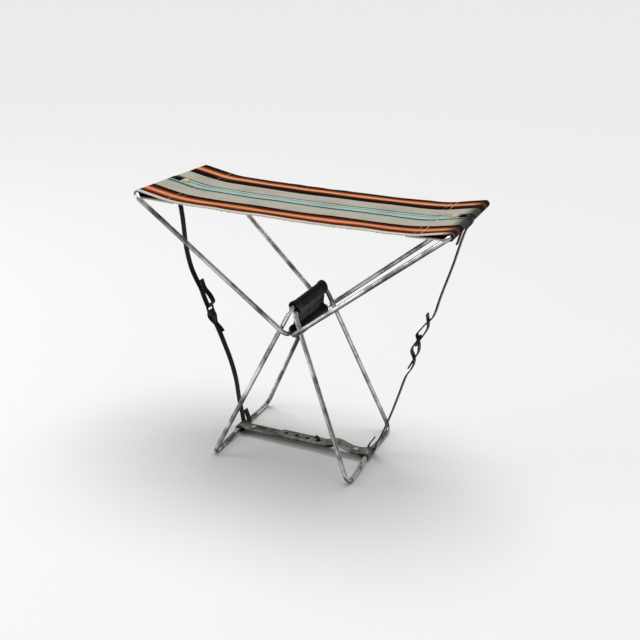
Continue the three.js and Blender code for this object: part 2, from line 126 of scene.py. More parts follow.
def add(tree: Tree, kind: str, inputs: dict | None = None,
        **settings: object) -> bpy.types.Node:
    """Adds a node with its settings and links.

    Args:
        tree: The node tree to add to.
        kind: The node's type name.
        inputs: As feed takes them.
        settings: Attributes of the node itself.

    Returns:
        The new node.
    """
    node = tree.nodes.new(kind)
    for name, value in settings.items():
        setattr(node, name, value)
    feed(tree, node, inputs or {})
    return node


def ramp(tree: Tree, factor: Socket, stops: Stops,
         interpolation: str = "LINEAR") -> Socket:
    """Adds a colour ramp.

    Args:
        tree: The node tree to add to.
        factor: What the ramp reads.
        stops: Place on the ramp from 0 to 1, and an sRGB hex colour.
        interpolation: The ramp's interpolation.

    Returns:
        The ramp's colour socket.
    """
    node = add(tree, "ShaderNodeValToRGB", {"Fac": factor})
    node.color_ramp.interpolation = interpolation
    elements = node.color_ramp.elements
    while len(elements) < len(stops):
        elements.new(1.0)
    for element, (place, colour) in zip(elements, stops):
        element.position = place
        element.color = linear(colour)
    return node.outputs["Color"]


def maths(tree: Tree, operation: str, first: Value, second: Value) -> Socket:
    """Returns the result of one operation on two numbers."""
    return add(tree, "ShaderNodeMath", {0: first, 1: second}, operation=operation).outputs[0]


def mix(tree: Tree, share: Value, under: Socket,
        over: Socket | str, way: str = "MIX") -> Socket:
    """Lays a share of one colour over another.

    Args:
        tree: The node tree to add to.
        share: How much of the upper colour shows, from 0 to 1.
        under: The colour underneath.
        over: The colour laid over it, as a socket or an sRGB hex colour.
        way: How the two are mixed.

    Returns:
        The mixed colour's socket.
    """
    upper = linear(over) if isinstance(over, str) else over
    made = add(tree, "ShaderNodeMix", {"Factor": share, "A": under, "B": upper},
               data_type="RGBA", blend_type=way)
    return made.outputs["Result"]


def coordinates(tree: Tree, kind: str = "Object") -> Socket:
    """Returns the object's own coordinates, or its own normal."""
    return add(tree, "ShaderNodeTexCoord").outputs[kind]


def component(tree: Tree, vector: Socket, axis: str) -> Socket:
    """Returns one component of a vector."""
    return add(tree, "ShaderNodeSeparateXYZ", {"Vector": vector}).outputs[axis]


def blotches(tree: Tree, size_mm: float, detail: float = 4.0,
             stretch: tuple[float, float, float] = (1.0, 1.0, 1.0)) -> Socket:
    """Returns noise on the object's own coordinates.

    Args:
        tree: The node tree to add to.
        size_mm: Rough size of the features.
        detail: Octaves of finer noise.
        stretch: Scale of the coordinates along X, Y and Z.

    Returns:
        The noise, from 0 to 1.
    """
    mapped = add(tree, "ShaderNodeMapping", {"Vector": coordinates(tree), "Scale": stretch})
    made = add(tree, "ShaderNodeTexNoise", {"Vector": mapped.outputs["Vector"], "Detail": detail,
                                            "Scale": per_metre(size_mm), "Roughness": 0.6})
    return made.outputs["Fac"]


def spread(tree: Tree, value: Socket, low: Pair,
           high: Pair) -> Socket:
    """Maps a value from the range low[0]..high[0] to low[1]..high[1].

    Args:
        tree: The node tree to add to.
        value: The value to map.
        low: Start of the old range, and what it maps to.
        high: End of the old range, and what it maps to.

    Returns:
        The mapped value, kept inside the new range.
    """
    node = add(tree, "ShaderNodeMapRange", {
        "Value": value, "From Min": low[0], "From Max": high[0], "To Min": low[1], "To Max": high[1]})
    return node.outputs["Result"]


def bump(tree: Tree, height: Socket, depth_mm: float,
         strength: float = 1.0, normal: Socket | None = None) -> Socket:
    """Returns a normal bumped by height, which counts as depth_mm from 0 to 1.

    Args:
        tree: The node tree to add to.
        height: The height, from 0 to 1.
        depth_mm: Depth of the full height.
        strength: How strongly it shows.
        normal: A normal that is already bumped.

    Returns:
        The bumped normal.
    """
    inputs = {"Height": height, "Distance": depth_mm * MM, "Strength": strength}
    if normal:
        inputs["Normal"] = normal
    return add(tree, "ShaderNodeBump", inputs).outputs["Normal"]


# ---------------------------------------------------------------- finishes


class Finish:
    """A surface finish. Each subclass is a real material and makes its own nodes."""

    name: str

    def surface(self, tree: Tree) -> dict[str, Value]:
        """Returns what the principled shader's inputs take."""
        raise NotImplementedError

    def material(self) -> bpy.types.Material:
        """Returns the finish's material, made on first use.

        Returns:
            A material that every piece of this finish shares.
        """
        found = bpy.data.materials.get(self.name)
        if found:
            return found
        made = bpy.data.materials.new(self.name)
        made.use_nodes = True
        tree = made.node_tree
        feed(tree, tree.nodes["Principled BSDF"], self.surface(tree))
        return made


@dataclass(frozen=True)
class GalvanisedWire(Finish):
    """Drawn steel rod, hot galvanised and then handled for years.

    The zinc is bright where hands and canvas rub it, with dark patina between, painted shade
    on the undersides, fine draw marks, and rust where the feet stand on damp ground.
    """

    name: str = "galvanised steel rod"
    bright: str = "F0F0EE"
    worn: str = "94938F"
    patina_and_shade: str = "1F1E1D"
    rust: str = "3E281B"
    patch_mm: float = 34.0
    underside_shade: float = 0.85   # share of painted shade, in the dark zinc colour, on faces that look down
    fleck_mm: float = 2.2
    fleck_depth_mm: float = 0.10
    draw_mark_mm: float = 0.7
    draw_depth_mm: float = 0.04
    rust_mm: float = 7.0
    rust_height_mm: float = 30.0

    def surface(self, tree: Tree) -> dict[str, Value]:
        """Returns zinc under patina, flecks, painted shade underneath, rust and draw marks.

        Args:
            tree: The node tree to add to.

        Returns:
            Each input's name, and its value or socket.
        """
        patches = blotches(tree, self.patch_mm)
        zinc = ramp(tree, patches, ((0.30, self.patina_and_shade), (0.43, self.worn), (0.59, self.bright)))
        flecks = blotches(tree, self.fleck_mm, 3.0)
        flecked = mix(tree, spread(tree, flecks, (0.64, 0.0), (0.76, 0.6)), zinc, self.patina_and_shade)
        # painted shade: faces that look down are darkened towards the dark zinc colour
        facing = component(tree, coordinates(tree, "Normal"), "Z")
        soiled_and_shaded = mix(tree, spread(tree, facing, (0.10, 0.0), (-0.45, self.underside_shade)), flecked, self.patina_and_shade)
        height = component(tree, coordinates(tree), "Z")
        low = spread(tree, height, (0.0, 1.0), (self.rust_height_mm * MM, 0.0))
        spots = spread(tree, blotches(tree, self.rust_mm), (0.44, 0.0), (0.62, 1.0))
        rusty = maths(tree, "MULTIPLY", low, spots)
        pits = bump(tree, flecks, self.fleck_depth_mm, 0.15)
        return {
            "Base Color": mix(tree, rusty, soiled_and_shaded, self.rust),
            "Metallic": spread(tree, rusty, (0.0, 0.95), (1.0, 0.25)),
            "Roughness": spread(tree, patches, (0.3, 0.30), (0.65, 0.20)),
            "Normal": bump(tree, blotches(tree, self.draw_mark_mm, 2.0), self.draw_depth_mm, 0.10, pits),
        }


@dataclass(frozen=True)
class MottledFinish(Finish):
    """A finish of two or three blotched colours, with fine marks in its surface."""

    name: str
    colours: Stops
    patch_mm: float
    mark_mm: float
    mark_depth_mm: float
    mark_strength: float
    roughness: Pair            # in the darker blotches and in the lighter ones
    metallic: float = 0.0
    patch_detail: float = 4.0
    mark_detail: float = 4.0
    mark_stretch: tuple[float, float, float] = (1.0, 1.0, 1.0)

    def surface(self, tree: Tree) -> dict[str, Value]:
        """Returns the blotches and the marks.

        Args:
            tree: The node tree to add to.

        Returns:
            Each input's name, and its value or socket.
        """
        patches = blotches(tree, self.patch_mm, self.patch_detail)
        marks = blotches(tree, self.mark_mm, self.mark_detail, self.mark_stretch)
        return {
            "Base Color": ramp(tree, patches, self.colours),
            "Metallic": self.metallic,
            "Roughness": spread(tree, patches, (0.3, self.roughness[0]), (0.7, self.roughness[1])),
            "Normal": bump(tree, marks, self.mark_depth_mm, self.mark_strength),
        }


@dataclass(frozen=True)
class ZincPlatedStrip(MottledFinish):
    """Cold-rolled steel strip, zinc plated and dulled.

    Flat grey with cloudy oxide, faint rolling lines along the strip, and darker dirt in hollows.
    """

    name: str = "zinc-plated steel strip"
    colours: Stops = ((0.30, "35322D"), (0.44, "6F6E69"), (0.66, "A3A39C"))
    patch_mm: float = 14.0
    mark_mm: float = 1.0
    mark_depth_mm: float = 0.06
    mark_strength: float = 0.5
    roughness: Pair = (0.62, 0.38)
    metallic: float = 0.85
    patch_detail: float = 5.0
    mark_detail: float = 3.0
    mark_stretch: tuple[float, float, float] = (0.05, 1.0, 1.0)


@dataclass(frozen=True)
class BlackenedSteel(MottledFinish):
    """Oil-blackened steel wire with brown edges where it has rubbed."""

    name: str = "blackened steel"
    colours: Stops = ((0.45, "1E1B19"), (0.68, "5B4636"))
    patch_mm: float = 4.0
    mark_mm: float = 0.8
    mark_depth_mm: float = 0.06
    mark_strength: float = 0.5
    roughness: Pair = (0.38, 0.6)
    metallic: float = 0.8


@dataclass(frozen=True)
class CutLeatherEdge(MottledFinish):
    """The cut edge of cowhide: part dyed, dry and fibrous, with brown showing through."""

    name: str = "cut leather edge"
    colours: Stops = ((0.42, "0E0C0A"), (0.66, "3E352B"))
    patch_mm: float = 5.0
    mark_mm: float = 0.9
    mark_depth_mm: float = 0.12
    mark_strength: float = 0.6
    roughness: Pair = (0.85, 0.85)
    patch_detail: float = 5.0


@dataclass(frozen=True)
class BuffPatchCloth(MottledFinish):
    """A scrap of unbleached cotton, faded to buff, with a soft nap and rubbed edges."""

    name: str = "buff cotton patch"
    colours: Stops = ((0.35, "C08E62"), (0.60, "E6C49C"))
    patch_mm: float = 5.0
    mark_mm: float = 0.8
    mark_depth_mm: float = 0.2
    mark_strength: float = 0.6
    roughness: Pair = (0.9, 0.9)


@dataclass(frozen=True)
class SpunThread(MottledFinish):
    """Twisted sewing thread or loose yarn of one colour, matte, with darker hollows."""

    name: str = "natural linen thread"
    colours: Stops = ((0.35, "A8977A"), (0.6, "E9DEC6"))
    patch_mm: float = 0.9
    mark_mm: float = 0.9
    mark_depth_mm: float = 0.1
    mark_strength: float = 0.5
    roughness: Pair = (0.8, 0.8)
    patch_detail: float = 2.0
    mark_detail: float = 2.0


@dataclass(frozen=True)
class BlackLeather(Finish):
    """Vegetable-tanned cowhide, dyed black and polished by handling.

    Semi-gloss, with small grain cells, creases across the bends and brown wear on high places.
    """

    name: str = "black dyed leather"
    black: str = "030303"
    worn: str = "0C0A09"
    wear_mm: float = 11.0
    grain_mm: float = 1.1   # real grain is near 0.5 mm, and is drawn this coarse to show
    grain_depth_mm: float = 0.10
    crease_mm: float = 7.0
    crease_depth_mm: float = 0.7

    def surface(self, tree: Tree) -> dict[str, Value]:
        """Returns dye, grain and creases.

        Args:
            tree: The node tree to add to.

        Returns:
            Each input's name, and its value or socket.
        """
        wear = blotches(tree, self.wear_mm, 5.0)
        cells = add(tree, "ShaderNodeTexVoronoi",
                    {"Vector": coordinates(tree), "Scale": per_metre(self.grain_mm)})
        grain = bump(tree, cells.outputs["Distance"], self.grain_depth_mm, 0.55)
        creases = blotches(tree, self.crease_mm, 6.0)
        return {
            "Base Color": ramp(tree, wear, ((0.42, self.black), (0.72, self.worn))),
            "Roughness": spread(tree, wear, (0.3, 0.26), (0.7, 0.50)),
            "Specular IOR Level": 0.07,
            "Normal": bump(tree, creases, self.crease_depth_mm, 0.5, grain),
        }


@dataclass(frozen=True)
class StripedCanvas(Finish):
    """Heavy cotton deck-chair canvas with its stripes woven in.

    Matte, with a visible plain weave, threads of uneven colour at each stripe's edge, and a
    little fading and soil. The stripes are given from the rear selvedge to the front one.
    """

    name: str = "striped cotton canvas"
    width_mm: float = 190.0
    thread_mm: float = 1.3   # real threads are near 0.7 mm, and are drawn this coarse to show
    thread_depth_mm: float = 0.35
    fibre_mm: float = 1.6
    wander_mm: float = 0.3   # how far a stripe's edge strays
    crease_mm: float = 9.0
    crease_depth_mm: float = 0.5
    soil: str = "8A7B66"
    soil_mm: float = 38.0
    right_end_dark: str = "15100D"    # the canvas darkens to near-black towards the right-hand end bar's crest
    right_end_dark_mm: Pair = (188.0, 200.0)
    stripes: Stops = (
        (0.0, "050303"), (8.5, "4A1206"), (12.5, "7E300F"), (16.0, "C2622E"), (19.5, "E8945A"),
        (22.5, "FCC49A"), (26.0, "DC844C"), (29.0, "9E4414"), (32.0, "4A1406"), (35.5, "050303"),
        (51.0, "C6C0B0"), (82.0, "54787A"), (86.5, "CCD6CA"), (91.5, "5F8886"), (94.5, "C6D2C6"),
        (98.0, "AECAC4"), (102.0, "CBD6CB"), (105.5, "2A6466"), (111.5, "8FB0AB"), (115.0, "C6C0B0"),
        (146.0, "050303"), (153.0, "4A1206"), (157.5, "8E3E1C"), (161.0, "D07440"), (164.5, "F8B488"),
        (168.0, "E08A54"), (171.5, "A2481A"), (175.0, "601C08"), (179.0, "3A1006"), (182.5, "A88E80"),
        (184.5, "EFEAE0"))

    def surface(self, tree: Tree) -> dict[str, Value]:
        """Returns stripes, weave, fading, soil and the darkened right-hand end.

        Args:
            tree: The node tree to add to.

        Returns:
            Each input's name, and its value or socket.
        """
        cloth = add(tree, "ShaderNodeUVMap", uv_map=SeatCanvas.uv_name).outputs["UV"]
        warp = self.threads(tree, cloth, "Y")
        weft = self.threads(tree, cloth, "X")
        weave = maths(tree, "MULTIPLY", warp, weft)
        # painted shade and light at the weave's scale: darker between the threads, a little lighter where
        # they cross
        shade = spread(tree, weave, (0.0, 0.80), (0.7, 1.05))
        grey = add(tree, "ShaderNodeCombineColor", {0: shade, 1: shade, 2: shade}).outputs["Color"]
        woven = mix(tree, 1.0, self.dyed(tree, cloth), grey, "MULTIPLY")
        soiled_and_shaded = spread(tree, blotches(tree, self.soil_mm, 6.0), (0.48, 0.0), (0.78, 0.30))
        faded = mix(tree, soiled_and_shaded, woven, self.soil, "MULTIPLY")
        along = component(tree, coordinates(tree), "X")
        # the colour darkens to near-black over the last 12 mm towards the right-hand end bar's crest
        right_end_darkening = spread(tree, along, (self.right_end_dark_mm[0] * MM, 0.0), (self.right_end_dark_mm[1] * MM, 0.88))
        threads = bump(tree, weave, self.thread_depth_mm, 0.7)
        return {
            "Base Color": mix(tree, right_end_darkening, faded, self.right_end_dark),
            "Roughness": 0.92,
            "Specular IOR Level": 0.08,
            "Normal": bump(tree, blotches(tree, self.crease_mm, 3.0), self.crease_depth_mm, 0.4, threads),
        }

    def dyed(self, tree: Tree, cloth: Socket) -> Socket:
        """Returns the stripes' colours, with edges that wander from thread to thread.

        Args:
            tree: The node tree to add to.
            cloth: The cloth's coordinates in metres.

        Returns:
            The dyed colour.
        """
        drawn = add(tree, "ShaderNodeMapping", {"Vector": cloth, "Scale": (0.25, 1.0, 1.0)})
        fibres = add(tree, "ShaderNodeTexNoise", {"Vector": drawn.outputs["Vector"], "Detail": 2.0,
                                                  "Scale": per_metre(self.fibre_mm)}).outputs["Fac"]
        wander = spread(tree, fibres, (0.3, -self.wander_mm * MM), (0.7, self.wander_mm * MM))
        across = maths(tree, "ADD", component(tree, cloth, "Y"), wander)
        share = maths(tree, "DIVIDE", across, self.width_mm * MM)
        stops = tuple((start / self.width_mm, dye) for start, dye in self.stripes)
        return ramp(tree, share, stops, "CONSTANT")

    def threads(self, tree: Tree, cloth: Socket, way: str) -> Socket:
        """Returns one set of threads as bands.

        Args:
            tree: The node tree to add to.
            cloth: The cloth's coordinates in metres.
            way: The coordinate that the threads are spaced along.

        Returns:
            The height of the threads, from 0 to 1.
        """
        # One band of a sine wave is 2 * pi / 20 units of the scaled coordinate wide.
        scale = math.pi / 10 * per_metre(self.thread_mm)
        wave = add(tree, "ShaderNodeTexWave", {"Vector": cloth, "Scale": scale, "Distortion": 0.6,
                                               "Detail": 1.0, "Detail Scale": 0.5},
                   wave_type="BANDS", bands_direction=way)
        return wave.outputs["Fac"]


@dataclass(frozen=True)
class StudioPaper(Finish):
    """Plain seamless paper, for the floor only."""

    name: str = "studio paper"
    white: str = "F6F6F6"

    def surface(self, tree: Tree) -> dict[str, Value]:
        """Returns a plain matte white."""
        return {"Base Color": linear(self.white), "Roughness": 0.9}


NATURAL_THREAD = SpunThread()
WAXED_THREAD = SpunThread("waxed black thread", ((0.35, "0E0C0A"), (0.6, "2B2520")))
DULL_STRIP = ZincPlatedStrip("oxidised zinc-plated steel strip",
                             ((0.30, "23211E"), (0.44, "4E4D49"), (0.66, "7B7B76")))
BRIGHT_RIVET = ZincPlatedStrip("rubbed zinc-plated rivet steel",
                               ((0.30, "6A6760"), (0.44, "A5A49C"), (0.66, "D2D2CA")), 5.0)


# ---------------------------------------------------------------- geometry node trees


def show(name: str, data: bpy.types.ID) -> bpy.types.Object:
    """Returns a new object in the scene, at the origin, made of some data.

    Args:
        name: Its name.
        data: What the object shows.

    Returns:
        The new object.
    """
    made = bpy.data.objects.new(name, data)
    bpy.context.scene.collection.objects.link(made)
    return made


class TreeInput(Enum):
    """The kinds of named input that a geometry tree takes."""

    LENGTH = "NodeSocketFloat"
    COUNT = "NodeSocketInt"
    MATERIAL = "NodeSocketMaterial"


class PathTree:
    """A geometry node tree that builds something along a path of edges."""

    inputs: dict[str, TreeInput]

    def __init__(self, name: str) -> None:
        """Makes the tree with its sockets, then its nodes.

        Args:
            name: Its name.
        """
        self.tree = bpy.data.node_groups.new(name, "GeometryNodeTree")
        self.tree.interface.new_socket("Path", in_out="INPUT", socket_type="NodeSocketGeometry")
        self.ids = {}
        for label, kind in self.inputs.items():
            socket = self.tree.interface.new_socket(label, in_out="INPUT", socket_type=kind.value)
            self.ids[label] = socket.identifier
        self.tree.interface.new_socket("Made", in_out="OUTPUT", socket_type="NodeSocketGeometry")
        given = add(self.tree, "NodeGroupInput").outputs
        built = self.build(given)
        real = add(self.tree, "GeometryNodeRealizeInstances", {"Geometry": built}).outputs["Geometry"]
        smooth = add(self.tree, "GeometryNodeSetShadeSmooth", {"Geometry": real}).outputs["Geometry"]
        dressed = add(self.tree, "GeometryNodeSetMaterial",
                      {"Geometry": smooth, "Material": given["Material"]}).outputs["Geometry"]
        add(self.tree, "NodeGroupOutput", {"Made": dressed})

    def build(self, given: bpy.types.NodeOutputs) -> Socket:
        """Returns the geometry made along the path."""
        raise NotImplementedError

    def along(self, name: str, points: Sequence[Vector], closed: bool,
              **values: object) -> bpy.types.Object:
        """Runs the tree along a path and keeps the result as a plain mesh.

        Args:
            name: Name of the finished object.
            points: The path, in metres.
            closed: Whether the path joins up.
            values: The tree's inputs, by name with underscores for spaces.

        Returns:
            The finished object, at the origin.
        """
        count = len(points)
        edges = [(i, (i + 1) % count) for i in range(count if closed else count - 1)]
        path = bpy.data.meshes.new(name + " path")
        path.from_pydata([tuple(p) for p in points], edges, [])
        source = show(name + " path", path)
        modifier = source.modifiers.new("tree", "NODES")
        modifier.node_group = self.tree
        for label, identifier in self.ids.items():
            modifier[identifier] = values[label.lower().replace(" ", "_")]
        return plain(source, name)


def plain(source: bpy.types.Object, name: str) -> bpy.types.Object:
    """Turns an object with live modifiers into a plain mesh and removes the original.

    Args:
        source: The object to evaluate.
        name: Name of the finished object.

    Returns:
        The finished object.
    """
    bpy.context.view_layer.update()
    graph = bpy.context.evaluated_depsgraph_get()
    mesh = bpy.data.meshes.new_from_object(source.evaluated_get(graph), depsgraph=graph)
    mesh.name = name
    bpy.data.objects.remove(source)
    return show(name, mesh)


class RodTree(PathTree):
    """Draws a round rod along the path."""

    inputs = {"Radius": TreeInput.LENGTH, "Sides": TreeInput.COUNT, "Material": TreeInput.MATERIAL}

    def build(self, given: bpy.types.NodeOutputs) -> Socket:
        """Returns the rod's mesh.

        Args:
            given: The tree's inputs.

        Returns:
            The rod's geometry socket.
        """
        curve = add(self.tree, "GeometryNodeMeshToCurve", {"Mesh": given["Path"]}).outputs["Curve"]
        section = add(self.tree, "GeometryNodeCurvePrimitiveCircle",
                      {"Resolution": given["Sides"], "Radius": given["Radius"]}).outputs["Curve"]
        rod = add(self.tree, "GeometryNodeCurveToMesh",
                  {"Curve": curve, "Profile Curve": section, "Fill Caps": True})
        return rod.outputs["Mesh"]


class ThreadTree(PathTree):
    """Lays short threads along the path: stitches in line with it, or loose ends that stray."""

    inputs = {"Spacing": TreeInput.LENGTH, "Length": TreeInput.LENGTH, "Thickness": TreeInput.LENGTH,
              "Stray": TreeInput.LENGTH, "Turn": TreeInput.LENGTH, "Seed": TreeInput.COUNT,
              "Material": TreeInput.MATERIAL}

    def build(self, given: bpy.types.NodeOutputs) -> Socket:
        """Returns the threads, as instances of one small capsule.

        Args:
            given: The tree's inputs.

        Returns:
            The instances' geometry socket.
        """
        tree = self.tree
        curve = add(tree, "GeometryNodeMeshToCurve", {"Mesh": given["Path"]}).outputs["Curve"]
        points = add(tree, "GeometryNodeCurveToPoints",
                     {"Curve": curve, "Length": given["Spacing"]}, mode="LENGTH").outputs
        aligned = add(tree, "FunctionNodeAlignRotationToVector", {"Vector": points["Tangent"]}, axis="X")
        low = maths(tree, "MULTIPLY", given["Stray"], -1.0)
        turns = []
        for salt in range(3):
            seed = maths(tree, "ADD", given["Seed"], float(salt))
            stray = add(tree, "FunctionNodeRandomValue", {2: low, 3: given["Stray"], "Seed": seed},
                        data_type="FLOAT")
            turns.append(stray.outputs[1])
        turned = maths(tree, "ADD", turns[2], given["Turn"])
        euler = add(tree, "ShaderNodeCombineXYZ", {"X": turns[0], "Y": turns[1], "Z": turned}).outputs[0]
        turn = add(tree, "FunctionNodeEulerToRotation", {"Euler": euler}).outputs[0]
        strayed = add(tree, "FunctionNodeRotateRotation",
                      {"Rotation": aligned.outputs["Rotation"], "Rotate By": turn}, rotation_space="LOCAL")
        capsule = add(tree, "GeometryNodeMeshUVSphere", {"Segments": 6, "Rings": 5, "Radius": 0.5})
        size = add(tree, "ShaderNodeCombineXYZ",
                   {"X": given["Length"], "Y": given["Thickness"], "Z": given["Thickness"]}).outputs[0]
        return add(tree, "GeometryNodeInstanceOnPoints",
                   {"Points": points["Points"], "Instance": capsule.outputs["Mesh"],
                    "Rotation": strayed.outputs["Rotation"], "Scale": size}).outputs["Instances"]


# ---------------------------------------------------------------- mesh helpers


def fillet(corner: Vector, before: Vector, after: Vector, radius: float, steps: int = 10) -> list[Vector]:
    """Returns the points round one rounded corner.

    Args:
        corner: The sharp corner.
        before: A point on the way in.
        after: A point on the way out.
        radius: Radius of the bend's centreline.
        steps: Spans round the bend.

    Returns:
        The points, from the way in to the way out.
    """
    along = (corner - before).normalized()
    away = (after - corner).normalized()
    turn = along.angle(away)
    inward = (away - along * along.dot(away)).normalized()
    start = corner - along * radius * math.tan(turn / 2)
    return [start + along * radius * math.sin(a) + inward * radius * (1 - math.cos(a))
            for a in (turn * i / steps for i in range(steps + 1))]


def arc(centre: Pair, radius: float, start: float, end: float, steps: int) -> list[Vector]:
    """Returns points round a circle in X and Z, from one angle to another in radians."""
    return [Vector((centre[0] + radius * math.cos(a), 0.0, centre[1] + radius * math.sin(a)))
            for a in (start + (end - start) * i / steps for i in range(steps + 1))]


def evenly(points: Sequence[Vector], spacing: float, closed: bool) -> list[Vector]:
    """Returns points at an even spacing along a path.

    Args:
        points: The path.
        spacing: Distance between the new points.
        closed: Whether the path joins up.

    Returns:
        The new points; a closed path doesn't repeat its first.
    """
    line = list(points) + ([points[0]] if closed else [])
    total = sum((b - a).length for a, b in zip(line, line[1:]))
    count = max(2, round(total / spacing))
    made = []
    index, passed = 0, 0.0
    for i in range(count if closed else count + 1):
        goal = total * i / count
        while index < len(line) - 2 and passed + (line[index + 1] - line[index]).length < goal:
            passed += (line[index + 1] - line[index]).length
            index += 1
        span = (line[index + 1] - line[index]).length
        made.append(line[index].lerp(line[index + 1], min(1.0, (goal - passed) / max(span, 1e-9))))
    return made


def ease(value: float) -> float:
    """Returns a smooth step from 0 to 1."""
    t = min(1.0, max(0.0, value))
    return t * t * (3 - 2 * t)


def grid_faces(rows: int, columns: int, closed: bool = False) -> list[tuple[int, int, int, int]]:
    """Returns the quads of a grid whose vertices run row by row.

    Args:
        rows: Number of rows.
        columns: Number of vertices in a row.
        closed: Whether the last row joins the first.

    Returns:
        Four vertex numbers for each quad.
    """
    made = []
    for row in range(rows if closed else rows - 1):
        here, above = row * columns, (row + 1) % rows * columns
        made += [(here + c, here + c + 1, above + c + 1, above + c) for c in range(columns - 1)]
    return made


def new_piece(name: str, points: Sequence[Vector], faces: Sequence[Sequence[int]],
              *finishes: Finish) -> bpy.types.Object:
    """Makes a smooth-shaded mesh object from points in millimetres.

    Args:
        name: Name of the object.
        points: Vertices, in millimetres.
        faces: Vertex numbers of each face.
        finishes: The finishes of its material slots.

    Returns:
        The new object, at the origin.
    """
    mesh = bpy.data.meshes.new(name)
    mesh.from_pydata([tuple(p * MM) for p in points], [], faces)
    mesh.shade_smooth()
    for finish in finishes:
        mesh.materials.append(finish.material())
    return show(name, mesh)


@dataclass
class SoftenedNode:
    """A CAD node's own shape with its sharp edges eased and its curved faces smoothed."""

    node: str
    finish: Finish
    ease_mm: float = 0.2
    sharp_degrees: float = 38.0

    def build(self) -> bpy.types.Object:
        """Returns the piece, which replaces its node.

        Returns:
            The finished piece.
        """
        source = frame["nodes"][self.node]
        shape = bmesh.new()
        shape.from_mesh(source.data)
        bmesh.ops.remove_doubles(shape, verts=shape.verts, dist=0.5e-6)
        mesh = bpy.data.meshes.new(self.node + " eased")
        mesh.materials.append(self.finish.material())
        shape.to_mesh(mesh)
        shape.free()
        eased = show(self.node + " eased", mesh)
        if self.ease_mm:
            bevel = eased.modifiers.new("ease", "BEVEL")
            bevel.width = self.ease_mm * MM
            bevel.segments = 2
            bevel.limit_method = "ANGLE"
            bevel.angle_limit = math.radians(55)
        made = plain(eased, self.node + "_smooth")
        made.data.set_sharp_from_angle(angle=math.radians(self.sharp_degrees))
        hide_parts(self.node)
        return made


# ---------------------------------------------------------------- sub-assemblies


@dataclass
class WireFrame:
    """One bent rod: a short pivot bar in the grip, two spreading rods and a long far bar."""

    node: str
    body: str
    pivot: Pair            # X and Z of the pivot bar's centre
    far: Pair              # X and Z of the far bar's centre
    pivot_half: float      # from the middle to the sharp corner, along Y
    far_half: float
    pivot_bend: float
    far_bend: float
    bow: float = 0.0       # a foot bar arches off the floor between its corners
    bow_half: float = 60.0
    bow_steps: int = 24
    radius: float = 3.067
    sides: int = 24

    def route(self) -> list[Vector]:
        """Returns the rod's centreline, in millimetres.

        Returns:
            A closed path.
        """
        start = Vector((self.pivot[0], 0.0, self.pivot[1]))
        reach = Vector((self.far[0], 0.0, self.far[1])) - start
        along, across = reach.normalized(), Vector((0.0, 1.0, 0.0))
        near_right = start + across * self.pivot_half
        far_right = start + reach + across * self.far_half
        far_left = start + reach - across * self.far_half
        near_left = start - across * self.pivot_half
        middle = []
        for i in range(self.bow_steps + 1 if self.bow else 0):
            y = self.bow_half * (1 - 2 * i / self.bow_steps)
            rise = self.bow / 2 * (1 + math.cos(math.pi * y / self.bow_half))
            middle.append(start + reach - along * rise + across * y)
        return [
            *fillet(near_right, near_left, far_right, self.pivot_bend),
            *fillet(far_right, near_right, far_left, self.far_bend),
            *middle,
            *fillet(far_left, far_right, near_left, self.far_bend),
            *fillet(near_left, far_left, near_right, self.pivot_bend),
        ]

    def build(self, rods: RodTree, finish: Finish) -> None:
        """Draws the rod and hands it to the body that its node rides on.

        Args:
            rods: The tree that draws rods.
            finish: The rod's finish.
        """
        made = rods.along(self.node + "_rod", [p * MM for p in self.route()], True,
                          radius=self.radius * MM, sides=self.sides, material=finish.material())
        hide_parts(self.node)
        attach(made, self.body)
        log.info("%s: %d faces", made.name, len(made.data.polygons))


